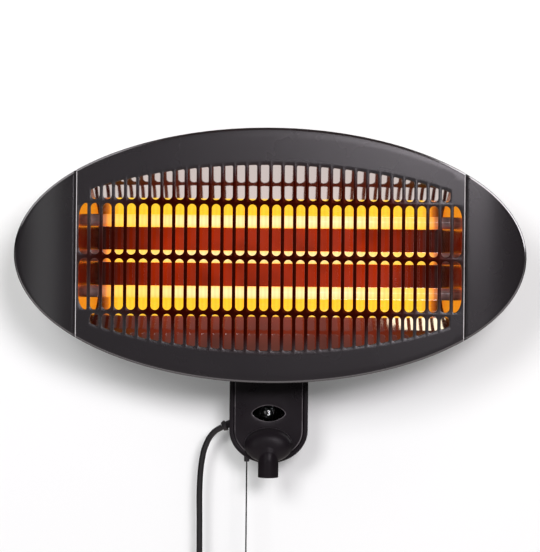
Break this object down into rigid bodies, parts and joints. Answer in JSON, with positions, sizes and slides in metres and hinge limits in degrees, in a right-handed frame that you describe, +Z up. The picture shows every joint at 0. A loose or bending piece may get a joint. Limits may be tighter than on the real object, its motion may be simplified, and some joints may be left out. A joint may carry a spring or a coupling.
{
  "type": "infrared bar heater",
  "caption": "Wall-hung electric bar heater: oval tilting head with a slotted face over quartz tubes and a polished trough, on a control box with pull switch, knob, pole socket and mains lead.",
  "frame": {"origin": "centre of the wall plate's back face, on the wall", "axes": "+Y into the wall, so the heater faces -Y; +Z up; +X to the right of someone who looks at the heater"},
  "size_m": [0.5, 0.13, 0.6247],
  "materials": {
    "face_enamel": "satin charcoal",
    "cap_plastic": "satin",
    "shell_enamel": "satin",
    "reflector_bright": "polished",
    "quartz": "clear",
    "heating_wire": "glowing",
    "ceramic_white": "matt",
    "bracket_enamel": "satin",
    "zinc_steel": "zinc plated",
    "box_plastic": "satin to gloss",
    "knob_plastic": "fine texture",
    "drum_plastic": "smooth",
    "lens_clear": "clear",
    "switch_brown": "moulded",
    "pulley_white": "moulded",
    "lead_rubber": "smooth jacket",
    "tie_plastic": "ribbed strap",
    "pin_brass": "polished",
    "string_black": "braided"
  },
  "bodies": {
    "base": {"wall_plate": "zinc_steel", "box_rear": "box_plastic", "box_front": "box_plastic", "box_screw_left": "zinc_steel", "box_screw_right": "zinc_steel", "box_grommet": "lead_rubber", "window_lens": "lens_clear", "pole_socket": "box_plastic", "switch_bracket": "zinc_steel", "switch_body": "switch_brown", "return_spring": "zinc_steel", "cord_eyelet": "knob_plastic", "cable_gland": "knob_plastic", "power_cord": "lead_rubber", "power_cord_coil": "lead_rubber", "power_cord_tail": "lead_rubber", "cord_tie": "tie_plastic", "plug_body": "knob_plastic", "plug_pin_left": "pin_brass", "plug_pin_right": "pin_brass", "plug_pin_earth": "pin_brass", "pivot_bolt": "zinc_steel", "washer_left": "zinc_steel", "washer_right": "zinc_steel"},
    "head": {"face_panel": "face_enamel", "end_cap_left": "cap_plastic", "end_cap_right": "cap_plastic", "rear_shell": "shell_enamel", "head_grommet": "lead_rubber", "reflector": "reflector_bright", "reflector_end_left": "reflector_bright", "reflector_end_right": "reflector_bright", "quartz_tube_upper": "quartz", "quartz_tube_middle": "quartz", "quartz_tube_lower": "quartz", "heating_coil_upper": "heating_wire", "heating_coil_middle": "heating_wire", "heating_coil_lower": "heating_wire", "ceramic_cap_upper_left": "ceramic_white", "ceramic_cap_upper_right": "ceramic_white", "ceramic_cap_middle_left": "ceramic_white", "ceramic_cap_middle_right": "ceramic_white", "ceramic_cap_lower_left": "ceramic_white", "ceramic_cap_lower_right": "ceramic_white", "terminal_block": "ceramic_white", "tilt_bracket": "bracket_enamel", "bracket_screw_1": "zinc_steel", "bracket_screw_2": "zinc_steel", "bracket_screw_3": "zinc_steel", "bracket_screw_4": "zinc_steel"},
    "drum": {"number_drum": "drum_plastic", "switch_shaft": "zinc_steel"},
    "pulley": {"ratchet_pulley": "pulley_white"},
    "pull": {"pull_cord": "string_black", "pull_knob": "knob_plastic"},
    "clamp_knob": {"tilt_knob": "knob_plastic"}
  },
  "joints": [
    {"name": "head_tilt", "type": "hinge", "parent": "base", "child": "head", "pos_m": [0, -0.04, 0.01], "axis": [1, 0, 0], "range_deg": [-5, 45]},
    {"name": "pull_slide", "type": "slide", "parent": "base", "child": "pull", "axis": [0, 0, -1], "range_m": [0, 0.0125], "stiffness_N_per_m": 600, "springref_m": -0.004},
    {"name": "pulley_turn", "type": "hinge", "parent": "base", "child": "pulley", "pos_m": [0, -0.043, -0.048], "axis": [1, 0, 0], "range_deg": [0, 90]},
    {"name": "number_turn", "type": "hinge", "parent": "base", "child": "drum", "pos_m": [0, -0.043, -0.048], "axis": [1, 0, 0], "continuous": true},
    {"name": "knob_turn", "type": "hinge", "parent": "base", "child": "clamp_knob", "pos_m": [0, -0.04, 0.01], "axis": [1, 0, 0], "continuous": true}
  ],
  "couplings": [
    {"joint": "pulley_turn", "follows": "pull_slide", "rad_per_m": 125}
  ]
}
